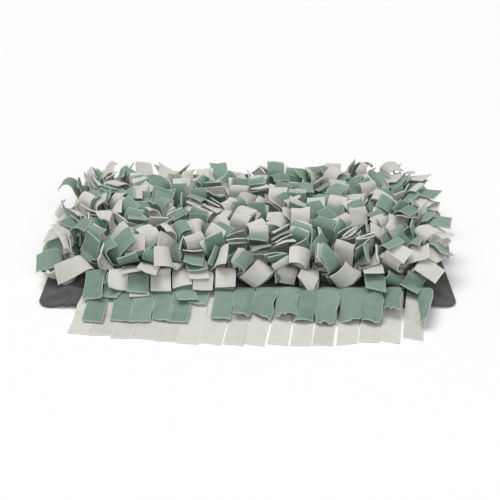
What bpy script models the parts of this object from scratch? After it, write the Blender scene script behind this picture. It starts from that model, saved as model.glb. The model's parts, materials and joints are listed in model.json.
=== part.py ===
"""Snuffle mat: a grey base cloth with eight sewn rows of two-layer fleece strips.

+X runs to the right along the long side, +Y to the back, +Z up.
The origin is at the middle of the base cloth's underside.
All sizes are in metres and all angles in degrees, unless a name says otherwise.
"""

import math
import random

import bmesh
import bpy
from mathutils import Vector
from mathutils.bvhtree import BVHTree

# The base cloth
BASE_WIDTH = 0.500
BASE_DEPTH = 0.340
BASE_THICK = 0.0035
CORNER_RADIUS = 0.016
CORNER_STEPS = 3
BASE_CELLS_X = 30
BASE_CELLS_Y = 20
# Soft puckers of the base cloth beside the first seam: the ridge's two ends, its half width and its height
BASE_PUCKERS = (
    # x1, y1, x2, y2, half_width, height
    (-0.2167, -0.124, -0.2167, -0.178, 0.0062, 0.0042),
    (-0.2420, -0.160, -0.2333, -0.125, 0.0060, 0.0016),
    (0.2333, -0.176, 0.2333, -0.125, 0.0062, 0.0018),
)

# The rows of strips
ROWS = 8
ROW_PITCH = 0.036
FIRST_SEAM_Y = -0.125
STRIP_PITCH = 0.026
FIRST_ROW_STRIPS = 16
FIRST_ROW_MIDDLE_X = 0.011
OTHER_ROW_STRIPS = 18
OTHER_ROW_MIDDLE_X = 0.0
STRIP_WIDTH = 0.0228
LAYERS_THICK = 0.0026
SPINE_DEPTH = 0.008
SEAM_GAP = 0.0005
SPINE_BOTTOM = BASE_THICK + SEAM_GAP
SPINE_MIDDLE = SPINE_BOTTOM + LAYERS_THICK / 2

# A standing strip: a root that turns up from the seam, a stem, and free sections up to the cut end
ROOT_LENGTH = 0.010
ROOT_RISE = 86.0
STEM_LENGTH = 0.010
STEM_LEANS = (0.0, 34.0)
KEPT_STEM = 0.040
FREE_SECTIONS = 4
SECTION_LENGTH = 0.0150
LENGTH_SPREAD = 0.0012
STEPS_PER_SECTION = 4
# How a strip falls: the shares that fall towards the mat's front, the whole bend, where it is
# strongest (section) and over how many sections it spreads
FRONT_HALF_FORWARD = 0.85
BACK_HALF_FORWARD = 0.60
FALLS = (20.0, 115.0)
FALL_PEAKS = (0.0, 2.6)
FALL_WIDTH = 1.5
CURL_SHARE = 0.35
CURLS = (-45.0, -10.0)
# Changes of a section's bend that are tried until the strip has room
BEND_STEPS = (0.0, 14.0, -14.0, 28.0, -28.0, 44.0, -44.0, -62.0, -80.0)
MOST_BEND = 85.0
TWIST_SPREAD = 60.0
MOST_TWIST = 105.0
TWIST_SHARES = (0.45, 0.30, 0.15, 0.10)
# The last strips of a row fall outward
END_STRIPS = 3
END_STEM_TWIST = 42.0
END_TWIST = 38.0
END_SPREAD = 38.0
END_TWIST_SHARES = (0.70, 0.30, 0.0, 0.0)
END_FALLS = (95.0, 150.0)
END_PEAKS = (0.3, 1.6)
END_LEAD = 0.18
LAST_ROW_BACKWARD = 0.80
LAST_ROW_FALLS = (95.0, 160.0)
# The first row's back half falls forward over the front strips at the left, and sideways further right
FIRST_ROW_FORWARD = (0, 1, 2, 3, 4, 5, 6, 10, 13, 15)
FIRST_ROW_TWIST = 0.4
FIRST_ROW_FALL = 165.0
SIDEWAYS_TWIST = (40.0, 90.0)

# Where the strips may lie
PILE_LEFT = -0.267
PILE_RIGHT = 0.260
PILE_BACK = 0.212
PILE_TOP = 0.074
FRONT_CLEAR_X = -0.010
FRONT_CLEAR_Y = -0.137
OVER_BASE = 0.0030
OVER_FLOOR = 0.0040
CLEARANCE = 0.0008
EDGE_STRIP = 0.004
EDGE_ROOM = 0.0014
GROUND_CELL = 0.005

# The front strips, which fall over the edge and lie on the floor
FRONT_LENGTHS_LEFT = 0.100
FRONT_LENGTHS_MIDDLE = 0.126
FRONT_LENGTHS_RIGHT = 0.114
FRONT_MIDDLE_SHARE = 0.62
FRONT_HEADING_LEFT = -5.0
FRONT_HEADING_RIGHT = -9.5
FRONT_HEADING_SPREAD = 0.8
EDGE_LEAD = 0.006
EDGE_DROP = 0.022

PILE_SEED = 33
ROW_MIXING = 0.7
TRIES = 18
TESTS_PER_TRY = 60


# ---------------------------------------------------------------- materials
def material(name, colour, roughness):
    """A plain cloth finish."""
    made = bpy.data.materials.new(name)
    made.use_nodes = True
    shader = made.node_tree.nodes["Principled BSDF"]
    shader.inputs["Base Color"].default_value = (*colour, 1.0)
    shader.inputs["Roughness"].default_value = roughness
    shader.inputs["Metallic"].default_value = 0.0
    made.diffuse_color = (*colour, 1.0)
    return made


def new_object(name, bm, materials):
    mesh = bpy.data.meshes.new(name)
    bm.to_mesh(mesh)
    bm.free()
    for each in materials:
        mesh.materials.append(each)
    mesh.shade_smooth()
    mesh.set_sharp_from_angle(angle=math.radians(50))
    made = bpy.data.objects.new(name, mesh)
    bpy.context.scene.collection.objects.link(made)
    return made


# --------------------------------------------------------------- base cloth
def pucker_height(x, y):
    """How far the cloth is lifted at a point by the soft ridges beside the seam."""
    lift = 0.0
    for x1, y1, x2, y2, half_width, height in BASE_PUCKERS:
        along = Vector((x2 - x1, y2 - y1))
        offset = Vector((x - x1, y - y1))
        share = max(0.0, min(1.0, offset.dot(along) / along.length_squared))
        away = (offset - along * share).length
        lift = max(lift, height * math.exp(-0.5 * (away / half_width) ** 2))
    return lift


def build_base(cloth):
    bm = bmesh.new()
    bmesh.ops.create_grid(bm, x_segments=BASE_CELLS_X, y_segments=BASE_CELLS_Y, size=0.5)
    for vertex in bm.verts:
        vertex.co.x *= BASE_WIDTH
        vertex.co.y *= BASE_DEPTH
    corners = [v for v in bm.verts if len(v.link_edges) == 2]
    bmesh.ops.bevel(
        bm,
        geom=corners,
        offset=CORNER_RADIUS,
        segments=CORNER_STEPS,
        profile=0.5,
        affect="VERTICES",
    )
    for vertex in bm.verts:
        vertex.co.z = pucker_height(vertex.co.x, vertex.co.y)
    base = new_object("base_cloth", bm, [cloth])
    thickness = base.modifiers.new("cloth thickness", "SOLIDIFY")
    thickness.thickness = BASE_THICK
    thickness.offset = 1.0
    return base


# --------------------------------------------------- the way that a strip runs
def turned(first, second, degrees):
    """Two axes turned in their own plane, first towards second."""
    angle = math.radians(degrees)
    return (
        first * math.cos(angle) + second * math.sin(angle),
        second * math.cos(angle) - first * math.sin(angle),
    )


def advance(frame, length, bend, twist):
    """The frame (point, tangent, across) at the end of a section that bends and twists.

    A strip bends about its width and twists about its length. It never bends in its own plane.
    """
    point, tangent, across = frame
    normal = tangent.cross(across)
    for _ in range(STEPS_PER_SECTION):
        tangent, normal = turned(tangent, normal, bend / STEPS_PER_SECTION / 2)
        point = point + tangent * (length / STEPS_PER_SECTION)
        tangent, normal = turned(tangent, normal, bend / STEPS_PER_SECTION / 2)
        across, normal = turned(across, normal, twist / STEPS_PER_SECTION)
    return point, tangent, across


def station_of(frame):
    """A strip's cross-section: its middle, its width axis and its normal."""
    point, tangent, across = frame
    return point, across, tangent.cross(across)


def strips_in(row):
    return FIRST_ROW_STRIPS if row == 0 else OTHER_ROW_STRIPS


def lane_x(row, index):
    """The middle of a strip's lane in its row."""
    middle = FIRST_ROW_MIDDLE_X if row == 0 else OTHER_ROW_MIDDLE_X
    return middle + (index - (strips_in(row) - 1) / 2) * STRIP_PITCH


def seam_y(row):
    return FIRST_SEAM_Y + row * ROW_PITCH


def root_of(key):
    """Where a strip leaves its spine: side is -1 at the front and 1 at the back."""
    row, index, side = key
    start = Vector((lane_x(row, index), seam_y(row) + side * SPINE_DEPTH / 2, SPINE_MIDDLE))
    return start, Vector((0, side, 0)), Vector((-side, 0, 0))


def outward_of(key):
    """1 at a row's right end, -1 at its left end and 0 between. Ends turn and fall off the row."""
    row, index, side = key
    if row == 0:
        return 0
    return (index >= strips_in(row) - END_STRIPS) - (index < END_STRIPS)


def fall_plan(chance, key):
    """How one strip would fall: the way it bends, and its bend and twist in each section."""
    row, index, side = key
    towards_front = chance.random() < (FRONT_HALF_FORWARD if side < 0 else BACK_HALF_FORWARD)
    twist = chance.gauss(0, TWIST_SPREAD)
    fall = chance.uniform(*FALLS)
    peak = chance.uniform(*FALL_PEAKS)
    curl = chance.uniform(*CURLS) if chance.random() < CURL_SHARE else None
    outward = outward_of(key)
    over_front = row == 0 and index in FIRST_ROW_FORWARD
    if row == 0:
        towards_front = True
        fall, peak, curl = FIRST_ROW_FALL, 0.4, None
        twist *= FIRST_ROW_TWIST
        if not over_front:
            twist = chance.choice((-1, 1)) * chance.uniform(*SIDEWAYS_TWIST)
    if row == ROWS - 1 and side > 0:
        towards_front = chance.random() > LAST_ROW_BACKWARD
        if not towards_front:
            fall, curl = chance.uniform(*LAST_ROW_FALLS), None
    shares = TWIST_SHARES
    if outward:
        towards_front, shares = True, END_TWIST_SHARES
        twist = outward * (END_TWIST + chance.uniform(-END_SPREAD, END_SPREAD))
        fall, peak, curl = chance.uniform(*END_FALLS), chance.uniform(*END_PEAKS), None
    way = side if towards_front else -side
    twist = max(-MOST_TWIST, min(MOST_TWIST, twist))
    weights = [math.exp(-(((level - peak) / FALL_WIDTH) ** 2)) for level in range(FREE_SECTIONS)]
    stem_bend = chance.uniform(*STEM_LEANS)
    bends = [(fall - stem_bend) * weight / sum(weights) for weight in weights]
    if curl is not None:
        bends[-1] = curl
    return {
        "way": way,
        "over_front": over_front,
        "bends": bends,
        "twists": [twist * share for share in shares],
        "stem_bend": stem_bend * way,
        "length": SECTION_LENGTH + chance.gauss(0, LENGTH_SPREAD),
    }


def front_length(index):
    """The front strips are cut in a shallow arc: longest right of the middle."""
    place = index / (FIRST_ROW_STRIPS - 1)
    if place < FRONT_MIDDLE_SHARE:
        rise = math.sin(math.pi / 2 * place / FRONT_MIDDLE_SHARE)
        return FRONT_LENGTHS_LEFT + (FRONT_LENGTHS_MIDDLE - FRONT_LENGTHS_LEFT) * rise
    fall = (place - FRONT_MIDDLE_SHARE) / (1 - FRONT_MIDDLE_SHARE)
    return FRONT_LENGTHS_MIDDLE - (FRONT_LENGTHS_MIDDLE - FRONT_LENGTHS_RIGHT) * fall**2


def front_frames(chance, index):
    """Frames of a front strip: along the base cloth, down over its edge and flat on the floor."""
    start, tangent, across = root_of((0, index, -1))
    place = index / (FIRST_ROW_STRIPS - 1)
    heading = FRONT_HEADING_LEFT + (FRONT_HEADING_RIGHT - FRONT_HEADING_LEFT) * place
    heading += chance.uniform(-FRONT_HEADING_SPREAD, FRONT_HEADING_SPREAD)
    ahead, sideways = turned(tangent, across, heading)
    up = Vector((0, 0, 1))
    edge = start.y + BASE_DEPTH / 2
    floor_level = LAYERS_THICK / 2
    top_level = SPINE_MIDDLE + OVER_BASE
    reach = front_length(index) * chance.uniform(0.985, 1.015)
    profile = (
        # ahead of the root, height of the middle of the layers
        (0.0, SPINE_MIDDLE),
        (0.010, top_level),
        (edge + EDGE_LEAD, top_level),
        (edge + EDGE_LEAD + EDGE_DROP * 0.45, (top_level + floor_level) / 2),
        (edge + EDGE_LEAD + EDGE_DROP, floor_level),
        (reach, floor_level),
    )
    frames = [(start, tangent, across)]
    for number in range(1, len(profile)):
        distance, height = profile[number]
        before = profile[number - 1]
        after = profile[min(number + 1, len(profile) - 1)]
        slope = 0.0
        if height != floor_level:
            slope = math.degrees(math.atan2(after[1] - before[1], after[0] - before[0]))
        point = Vector((start.x, start.y, height)) + ahead * distance
        frames.append((point, turned(ahead, up, slope)[0], sideways))
    return frames


# ------------------------------------------------------- room for every strip
def ring(station, grow=0.0):
    """The four corners of a strip's cross-section."""
    point, across, normal = station
    wide = across * (STRIP_WIDTH / 2 + grow)
    thick = normal * (LAYERS_THICK / 2 + grow)
    return [point - wide - thick, point + wide - thick, point + wide + thick, point - wide + thick]


def side_triangles(low, high):
    """The sides of a tube between two rings. Both wide faces fold along the same diagonal."""
    triangles = []
    for corner in range(4):
        after = (corner + 1) % 4
        if corner == 2:
            triangles.append((low[corner], low[after], high[corner]))
            triangles.append((low[after], high[after], high[corner]))
        else:
            triangles.append((low[corner], low[after], high[after]))
            triangles.append((low[corner], high[after], high[corner]))
    return triangles


def tube_tree(stations, grow):
    """The strip's closed tube as a search tree for overlaps."""
    points = [corner for station in stations for corner in ring(station, grow)]
    rings = [range(start, start + 4) for start in range(0, len(points), 4)]
    faces = [tuple(reversed(rings[0])), tuple(rings[-1])]
    for low, high in zip(rings, rings[1:]):
        faces += side_triangles(low, high)
    low = [min(point[axis] for point in points) for axis in range(3)]
    high = [max(point[axis] for point in points) for axis in range(3)]
    return BVHTree.FromPolygons(points, faces), low, high


def box_tree(low, high):
    """A box as a search tree for overlaps."""
    points = [(x, y, z) for x in (low[0], high[0]) for y in (low[1], high[1]) for z in (low[2], high[2])]
    faces = [(0, 1, 3, 2), (4, 6, 7, 5), (0, 4, 5, 1), (2, 3, 7, 6), (0, 2, 6, 4), (1, 5, 7, 3)]
    return BVHTree.FromPolygons(points, faces), low, high


def ground_tree():
    """The base cloth's top, with its puckers, as a search tree. It is low enough for the roots."""
    level = SPINE_BOTTOM - CLEARANCE - 0.0001
    wide, deep = round(BASE_WIDTH / GROUND_CELL), round(BASE_DEPTH / GROUND_CELL)
    points = []
    for row in range(deep + 1):
        for column in range(wide + 1):
            x = (column / wide - 0.5) * BASE_WIDTH
            y = (row / deep - 0.5) * BASE_DEPTH
            points.append((x, y, level + pucker_height(x, y)))
    faces = []
    for row in range(deep):
        for column in range(wide):
            corner = row * (wide + 1) + column
            faces.append((corner, corner + 1, corner + wide + 2, corner + wide + 1))
    highest = max(point[2] for point in points)
    return BVHTree.FromPolygons(points, faces), points[0], (points[-1][0], points[-1][1], highest)


def base_trees():
    """The base cloth as obstacles: its top, and low walls along the edges that are kept clear."""
    x, y = BASE_WIDTH / 2, BASE_DEPTH / 2
    inner, room, top = EDGE_STRIP, EDGE_ROOM, BASE_THICK + EDGE_ROOM
    return {
        "top": ground_tree(),
        "left edge": box_tree((-x - room, -y - room, 0.0), (-x + inner, y + room, top)),
        "right edge": box_tree((x - inner, -y - room, 0.0), (x + room, y + room, top)),
        "back edge": box_tree((-x - room, y - inner, 0.0), (x + room, y + room, top)),
    }


def boxes_apart(first, second):
    _, low, high = first
    _, other_low, other_high = second
    return (
        low[0] > other_high[0]
        or other_low[0] > high[0]
        or low[1] > other_high[1]
        or other_low[1] > high[1]
        or low[2] > other_high[2]
        or other_low[2] > high[2]
    )


def inside_limits(station, over_front):
    """True where a strip's cross-section is in the pile's room and over what it lies on."""
    for corner in ring(station):
        over_base = abs(corner.x) < BASE_WIDTH / 2 and abs(corner.y) < BASE_DEPTH / 2
        lowest = BASE_THICK + OVER_BASE if over_base else OVER_FLOOR
        if not lowest <= corner.z <= PILE_TOP:
            return False
        if not PILE_LEFT <= corner.x <= PILE_RIGHT or corner.y > PILE_BACK:
            return False
        if not over_front and corner.x > FRONT_CLEAR_X and corner.y < FRONT_CLEAR_Y:
            return False
    return True


class Pile:
    """The strips laid so far, and the roots that are kept free for those still to come."""

    def __init__(self):
        self.roots = {}
        self.laid = base_trees()

    def keep_root(self, key, stations):
        self.roots[key] = tube_tree(stations, 0.0)

    def lay(self, key, stations):
        self.roots.pop(key, None)
        self.laid[key] = tube_tree(stations, 0.0)

    def has_room(self, key, stations, own):
        """True where the tube through these stations clears the other strips and its own start."""
        tested = tube_tree(stations, CLEARANCE)
        if len(own) > 1:
            start = tube_tree(own, 0.0)
            if not boxes_apart(tested, start) and tested[0].overlap(start[0]):
                return False
        for group in (self.laid, self.roots):
            for other, tree in group.items():
                if other == key or boxes_apart(tested, tree):
                    continue
                if tested[0].overlap(tree[0]):
                    return False
        return True


def root_frames(key, stem_bend=0.0):
    """The frames of a strip's seam end, the end of its root and the end of its stem."""
    frames = [root_of(key)]
    frames.append(advance(frames[0], ROOT_LENGTH, ROOT_RISE, 0.0))
    frames.append(advance(frames[1], STEM_LENGTH, stem_bend, END_STEM_TWIST * outward_of(key)))
    return frames


def fall_options(plan, frame, level):
    """Frames that the next section may end in, the wanted one first."""
    ends = []
    for step in BEND_STEPS:
        bend = max(-MOST_BEND, min(MOST_BEND, plan["bends"][level] + step))
        ends.append(advance(frame, plan["length"], bend * plan["way"], plan["twists"][level]))
    return ends


def grow(pile, key, plan):
    """Let one strip fall section by section, bent as planned where it has room. Back up where it hasn't."""
    frames = root_frames(key, plan["stem_bend"])
    longest = []
    tests = 0

    def add(frames, level):
        nonlocal longest, tests
        if len(frames) > len(longest):
            longest = frames
        if level == FREE_SECTIONS:
            return True
        for end in fall_options(plan, frames[-1], level):
            tests += 1
            if tests > TESTS_PER_TRY:
                return False
            if not inside_limits(station_of(end), plan["over_front"]):
                continue
            section = [station_of(frames[-1]), station_of(end)]
            own = [station_of(frame) for frame in frames[:-1]]
            if pile.has_room(key, section, own) and add(frames + [end], level + 1):
                return True
        return False

    first = [station_of(frame) for frame in frames]
    if not pile.has_room(key, first, []):
        return []
    add(frames, 0)
    return longest


def end_lead(key):
    """How much sooner a strip is laid, in rows: from a row's ends inwards."""
    from_end = min(key[1], strips_in(key[0]) - 1 - key[1])
    return END_LEAD * max(0, END_STRIPS - from_end) * abs(outward_of(key)) + ROW_MIXING * abs(outward_of(key))


def settle(pile, chance, key):
    """The best of a few falls: the first of full length, or else the longest."""
    best = []
    for _ in range(TRIES):
        frames = grow(pile, key, fall_plan(chance, key))
        if len(frames) > len(best):
            best = frames
        if len(best) == FREE_SECTIONS + 3:
            break
    if not best:
        best = root_frames(key)
    stations = [station_of(frame) for frame in best]
    pile.lay(key, stations)
    return stations


def lay_pile():
    """Stations of every strip: {(row, index, side): stations}."""
    chance = random.Random(PILE_SEED)
    pile = Pile()
    strips = {}
    keys = [
        (row, index, side)
        for row in range(ROWS)
        for index in range(strips_in(row))
        for side in (-1, 1)
    ]
    for key in keys:
        kept = root_frames(key)
        kept.append(advance(kept[-1], KEPT_STEM - STEM_LENGTH, 0.0, 0.0))
        pile.keep_root(key, [station_of(frame) for frame in kept])
    for index in range(FIRST_ROW_STRIPS):
        key = (0, index, -1)
        strips[key] = [station_of(frame) for frame in front_frames(chance, index)]
        pile.lay(key, strips[key])
    standing = [key for key in keys if key not in strips]
    standing.sort(key=lambda key: key[0] + chance.uniform(-ROW_MIXING, ROW_MIXING) - end_lead(key))
    for key in standing:
        strips[key] = settle(pile, chance, key)
    return strips


# ------------------------------------------------------------- rows of strips
def draw_strip(bm, root, stations):
    """Carry a strip's tube from the four root corners through its stations, and close its end."""
    low = root
    for station in stations[1:]:
        high = [bm.verts.new(corner) for corner in ring(station)]
        for triangle in side_triangles(low, high):
            bm.faces.new(triangle)
        low = high
    bm.faces.new(low)


def build_row(row, strips, materials):
    """One solid: a narrow spine along the seam, with its strips drawn out of both sides."""
    bm = bmesh.new()
    edges = []
    for index in range(strips_in(row)):
        edges += [lane_x(row, index) - STRIP_WIDTH / 2, lane_x(row, index) + STRIP_WIDTH / 2]
    middle = seam_y(row)
    corners = (
        (middle - SPINE_DEPTH / 2, SPINE_BOTTOM),
        (middle - SPINE_DEPTH / 2, SPINE_BOTTOM + LAYERS_THICK),
        (middle + SPINE_DEPTH / 2, SPINE_BOTTOM + LAYERS_THICK),
        (middle + SPINE_DEPTH / 2, SPINE_BOTTOM),
    )
    spine = [[bm.verts.new((x, y, z)) for y, z in corners] for x in edges]
    for step in range(len(spine) - 1):
        front_low, front_high, back_high, back_low = spine[step]
        front_low2, front_high2, back_high2, back_low2 = spine[step + 1]
        bm.faces.new((front_high, front_high2, back_high2, back_high))
        bm.faces.new((front_low2, front_low, back_low, back_low2))
        front = (front_low, front_low2, front_high2, front_high)
        back = (back_low2, back_low, back_high, back_high2)
        if step % 2 == 0:
            draw_strip(bm, front, strips[(row, step // 2, -1)])
            draw_strip(bm, back, strips[(row, step // 2, 1)])
        else:
            bm.faces.new(front)
            bm.faces.new(back)
    front_low, front_high, back_high, back_low = spine[0]
    bm.faces.new((back_low, front_low, front_high, back_high))
    front_low, front_high, back_high, back_low = spine[-1]
    bm.faces.new((front_low, back_low, back_high, front_high))
    return new_object(f"strip_row_{row + 1}", bm, materials)


# ---------------------------------------------------------------- the whole mat
def main():
    for each in list(bpy.data.objects):
        bpy.data.objects.remove(each)
    grey = material("base_grey", (0.095, 0.096, 0.098), 0.95)
    green = material("fleece_green", (0.235, 0.345, 0.275), 0.9)
    cream = material("fleece_cream", (0.70, 0.69, 0.62), 0.9)
    build_base(grey)
    strips = lay_pile()
    for row in range(ROWS):
        build_row(row, strips, [green if row % 2 == 0 else cream])


main()
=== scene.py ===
# %% [markdown]
# # A snuffle mat, strip by strip
#
# A snuffle mat is a feeding mat for a pet: a thin cloth with rows of soft fleece strips sewn on
# it, in which dry food is hidden. This one has a dark grey base and eight rows. Each row is two
# layers of fleece, one sage green and one cream, cut into strips and sewn down along the middle,
# so that its front halves and its back halves all stand up and flop over.
#
# The lesson builds the looks of the mat over a plain frame of solids that is loaded first. The
# frame fixes every size and place, and the pieces below take over from its solids one by one.

# %% Load the frame of plain solids
import json
import math
import random

import bpy
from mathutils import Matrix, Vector, noise
from mathutils.bvhtree import BVHTree

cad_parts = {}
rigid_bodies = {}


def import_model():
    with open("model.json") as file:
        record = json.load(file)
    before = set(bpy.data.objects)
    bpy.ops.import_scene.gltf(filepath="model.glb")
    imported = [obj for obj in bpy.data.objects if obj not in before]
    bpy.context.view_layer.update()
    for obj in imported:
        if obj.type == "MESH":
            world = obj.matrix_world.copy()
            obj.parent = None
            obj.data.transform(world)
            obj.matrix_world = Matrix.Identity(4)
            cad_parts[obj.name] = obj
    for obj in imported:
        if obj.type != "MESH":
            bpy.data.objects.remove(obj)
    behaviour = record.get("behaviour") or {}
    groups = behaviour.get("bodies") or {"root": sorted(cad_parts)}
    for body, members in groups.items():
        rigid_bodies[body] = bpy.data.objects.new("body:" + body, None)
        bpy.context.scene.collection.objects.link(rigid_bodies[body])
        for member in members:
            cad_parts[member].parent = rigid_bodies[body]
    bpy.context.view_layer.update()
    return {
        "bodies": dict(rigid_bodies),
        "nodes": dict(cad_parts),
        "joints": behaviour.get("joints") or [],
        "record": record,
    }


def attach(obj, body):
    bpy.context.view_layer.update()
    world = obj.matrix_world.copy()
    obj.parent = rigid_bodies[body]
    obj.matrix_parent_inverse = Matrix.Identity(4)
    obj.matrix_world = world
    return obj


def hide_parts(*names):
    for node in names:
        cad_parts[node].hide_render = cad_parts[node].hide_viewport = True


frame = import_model()
print("the frame's nodes:", sorted(frame["nodes"]))

# %% [markdown]
# ## Sizes
#
# All sizes are in metres and all angles in degrees. The mat lies on the floor, with its
# underside at height 0, its long side along X, and its front towards -Y. The rows run along X.

# %% Sizes of the mat
BASE_WIDTH = 0.500
BASE_DEPTH = 0.340
BASE_THICK = 0.0035
CORNER_RADIUS = 0.016
# Soft puckers of the base cloth beside the first seam
BASE_PUCKERS = (
    # x1, y1, x2, y2, half_width, height
    (-0.2167, -0.124, -0.2167, -0.178, 0.0062, 0.0042),
    (-0.2420, -0.160, -0.2333, -0.125, 0.0060, 0.0016),
    (0.2333, -0.176, 0.2333, -0.125, 0.0062, 0.0018),
)
ROWS = 8
ROW_PITCH = 0.036
FIRST_SEAM_Y = -0.125
STRIP_PITCH = 0.026
FIRST_ROW_STRIPS = 16
FIRST_ROW_MIDDLE_X = 0.011
OTHER_ROW_STRIPS = 18
OTHER_ROW_MIDDLE_X = 0.0
STRIP_WIDTH = 0.0228
LAYERS_THICK = 0.0026
SPINE_DEPTH = 0.008
SEAM_GAP = 0.0005
SPINE_BOTTOM = BASE_THICK + SEAM_GAP
SPINE_MIDDLE = SPINE_BOTTOM + LAYERS_THICK / 2

# %% [markdown]
# ## Tools
#
# An operator works on whatever is selected and active, as it does by hand. A few helpers say
# that in one place, and turn a mesh with its modifiers into a finished one. The others put a new
# object into the scene, and aim a lamp or the camera.


# %% Making an object and working on it
def linked(name, data):
    """A new object in the scene."""
    obj = bpy.data.objects.new(name, data)
    bpy.context.scene.collection.objects.link(obj)
    return obj


def linked_mesh(name, points, faces):
    mesh = bpy.data.meshes.new(name)
    mesh.from_pydata(points, [], faces)
    return linked(name, mesh)


def aim(obj, place, target=Vector()):
    """Put a lamp or a camera somewhere and turn it towards its target."""
    obj.location = place
    obj.rotation_euler = (target - obj.location).to_track_quat("-Z", "Y").to_euler()


def only(obj):
    """Make one object the selected and active one."""
    bpy.ops.object.select_all(action="DESELECT")
    obj.select_set(True)
    bpy.context.view_layer.objects.active = obj


def set_all(target, **settings):
    for key, value in settings.items():
        setattr(target, key, value)


def add_modifier(obj, kind, name, **settings):
    modifier = obj.modifiers.new(name, kind)
    set_all(modifier, **settings)
    return modifier


def finish_shape(obj, smooth_angle=40.0):
    """Apply every modifier and the object's place, and shade it smooth up to an angle."""
    only(obj)
    for modifier in list(obj.modifiers):
        bpy.ops.object.modifier_apply(modifier=modifier.name)
    bpy.ops.object.transform_apply(location=True, rotation=True, scale=True)
    bpy.ops.object.shade_smooth_by_angle(angle=math.radians(smooth_angle))
    print(obj.name, "has", len(obj.data.polygons), "faces")


# %% [markdown]
# ## Shader maths as Python
#
# A material's pattern is a small sum on numbers that vary over the surface. Wrapping a socket in
# a class with +, - and * lets that sum be written as it would be on paper, and adds the Math
# nodes for it. Any other node comes from one call that takes its type, settings and inputs.


# %% Sockets that can be added and multiplied
class Value:
    """A socket of a material that can be used in sums."""

    def __init__(self, finish, socket):
        self.finish = finish
        self.socket = socket

    def maths(self, operation, *inputs):
        return self.finish.node("ShaderNodeMath", {"operation": operation}, dict(enumerate(inputs)))

    def __add__(self, other):
        return self.maths("ADD", self, other)

    __radd__ = __add__

    def __mul__(self, other):
        return self.maths("MULTIPLY", self, other)

    __rmul__ = __mul__

    def __sub__(self, other):
        return self.maths("SUBTRACT", self, other)

    def __rsub__(self, other):
        return self.maths("SUBTRACT", other, self)

    def __abs__(self):
        return self.maths("ABSOLUTE", self)

    def clipped(self, low, high):
        """0 below low, 1 above high, and smooth between them."""
        return self.finish.node(
            "ShaderNodeMapRange",
            {"interpolation_type": "SMOOTHSTEP"},
            {"Value": self, "From Min": low, "From Max": high},
            "Result",
        )


class Finish:
    """A new material and its shader."""

    def __init__(self, name, **uniform):
        self.material = bpy.data.materials.new(name)
        self.material.use_nodes = True
        self.tree = self.material.node_tree
        self.shader = self.tree.nodes["Principled BSDF"]
        for socket, value in uniform.items():
            self.shader.inputs[socket.replace("_", " ")].default_value = value

    def node(self, kind, settings=None, inputs=None, output=0):
        """Add a node: its settings first, then its inputs. Gives one output to go on with."""
        made = self.tree.nodes.new(kind)
        set_all(made, **(settings or {}))
        for key, value in (inputs or {}).items():
            if isinstance(value, Value):
                self.tree.links.new(value.socket, made.inputs[key])
            else:
                made.inputs[key].default_value = value
        return Value(self, made.outputs[output])

    def mixed(self, factor, first, second):
        """A colour between two colours."""
        settings = {"data_type": "RGBA", "clamp_factor": True}
        return self.node("ShaderNodeMix", settings, {0: factor, 6: first, 7: second}, 2)

    def noise(self, place, scale, detail=2.0, roughness=0.5):
        inputs = {"Vector": place, "Scale": scale, "Detail": detail, "Roughness": roughness}
        return self.node("ShaderNodeTexNoise", {}, inputs)

    def stretched(self, place, scale):
        """The place multiplied by a scale along each axis."""
        settings = {"operation": "MULTIPLY"}
        return self.node("ShaderNodeVectorMath", settings, {0: place, 1: scale})

    def feed(self, socket, value):
        self.tree.links.new(value.socket, self.shader.inputs[socket])

    def bumped(self, height, distance, strength=1.0):
        """Let a height, from 0 to 1, tip the surface's normal. distance is its depth."""
        inputs = {"Height": height, "Distance": distance, "Strength": strength}
        self.feed("Normal", self.node("ShaderNodeBump", {}, inputs))


# %% [markdown]
# ## The fleece
#
# Fleece is a knit whose face is brushed into a short, matt nap. Close to, it shows soft pills
# and a faint grain; from further off it is an even colour that turns a little paler along a cut
# edge, where the light goes through the loose fibres. Each strip differs slightly, so a number
# called tone, kept on the strip's mesh, makes it lighter or darker as a whole.
#
# The pattern follows the cloth through its UV map, which is laid out in metres.


# %% Fleece in a given colour
SEAM_SHADE = (0.004, 0.027)


def colour(red, green, blue):
    return (red, green, blue, 1.0)


def fleece(name, shade, deep, cut, painted_seam_shade):
    """Brushed fleece: shade is its lit face, deep its darker patches, cut its cut edge.

    The last colour is painted shade: the fleece turns to it down at the seams, where the strips
    crowd each other and little light comes in.
    """
    made = Finish(
        name,
        Roughness=0.92,
        Sheen_Weight=0.25,
        Sheen_Roughness=0.6,
        Specular_IOR_Level=0.15,
    )
    cloth = made.node("ShaderNodeUVMap", {"uv_map": "cloth"})
    tone, side, left, gone = (
        made.node("ShaderNodeAttribute", {"attribute_name": label}, output="Fac")
        for label in ("tone", "side", "left", "gone")
    )
    blotches = made.noise(cloth, 70.0, 3.0, 0.55)
    nap = made.noise(cloth, 620.0, 4.0, 0.65)
    grain = made.noise(made.stretched(cloth, (900.0, 260.0, 1.0)), 1.0, 2.0)
    depth = (0.40 * tone + 0.20 * blotches.clipped(0.35, 0.70) + 0.40 * (1 - nap)).clipped(0.15, 0.95)
    face = made.mixed(depth, shade, deep)
    ragged = 0.35 * nap + 0.65 * grain
    sides = (abs(side) + 0.12 * (ragged - 0.5)).clipped(0.925, 0.985)
    end = 1 - (left + 0.0014 * (ragged - 0.5)).clipped(0.0004, 0.0012)
    edge = (sides + end).clipped(0.0, 1.0) * (0.45 + 0.55 * nap)
    # Painted shade: close to the seam the face goes over to the dark seam colour.
    lit = gone.clipped(*SEAM_SHADE)
    made.feed("Base Color", made.mixed(lit, painted_seam_shade, made.mixed(edge, face, cut)))
    made.bumped(0.7 * nap + 0.3 * grain, 0.0007, 0.55)
    return made.material


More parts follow.
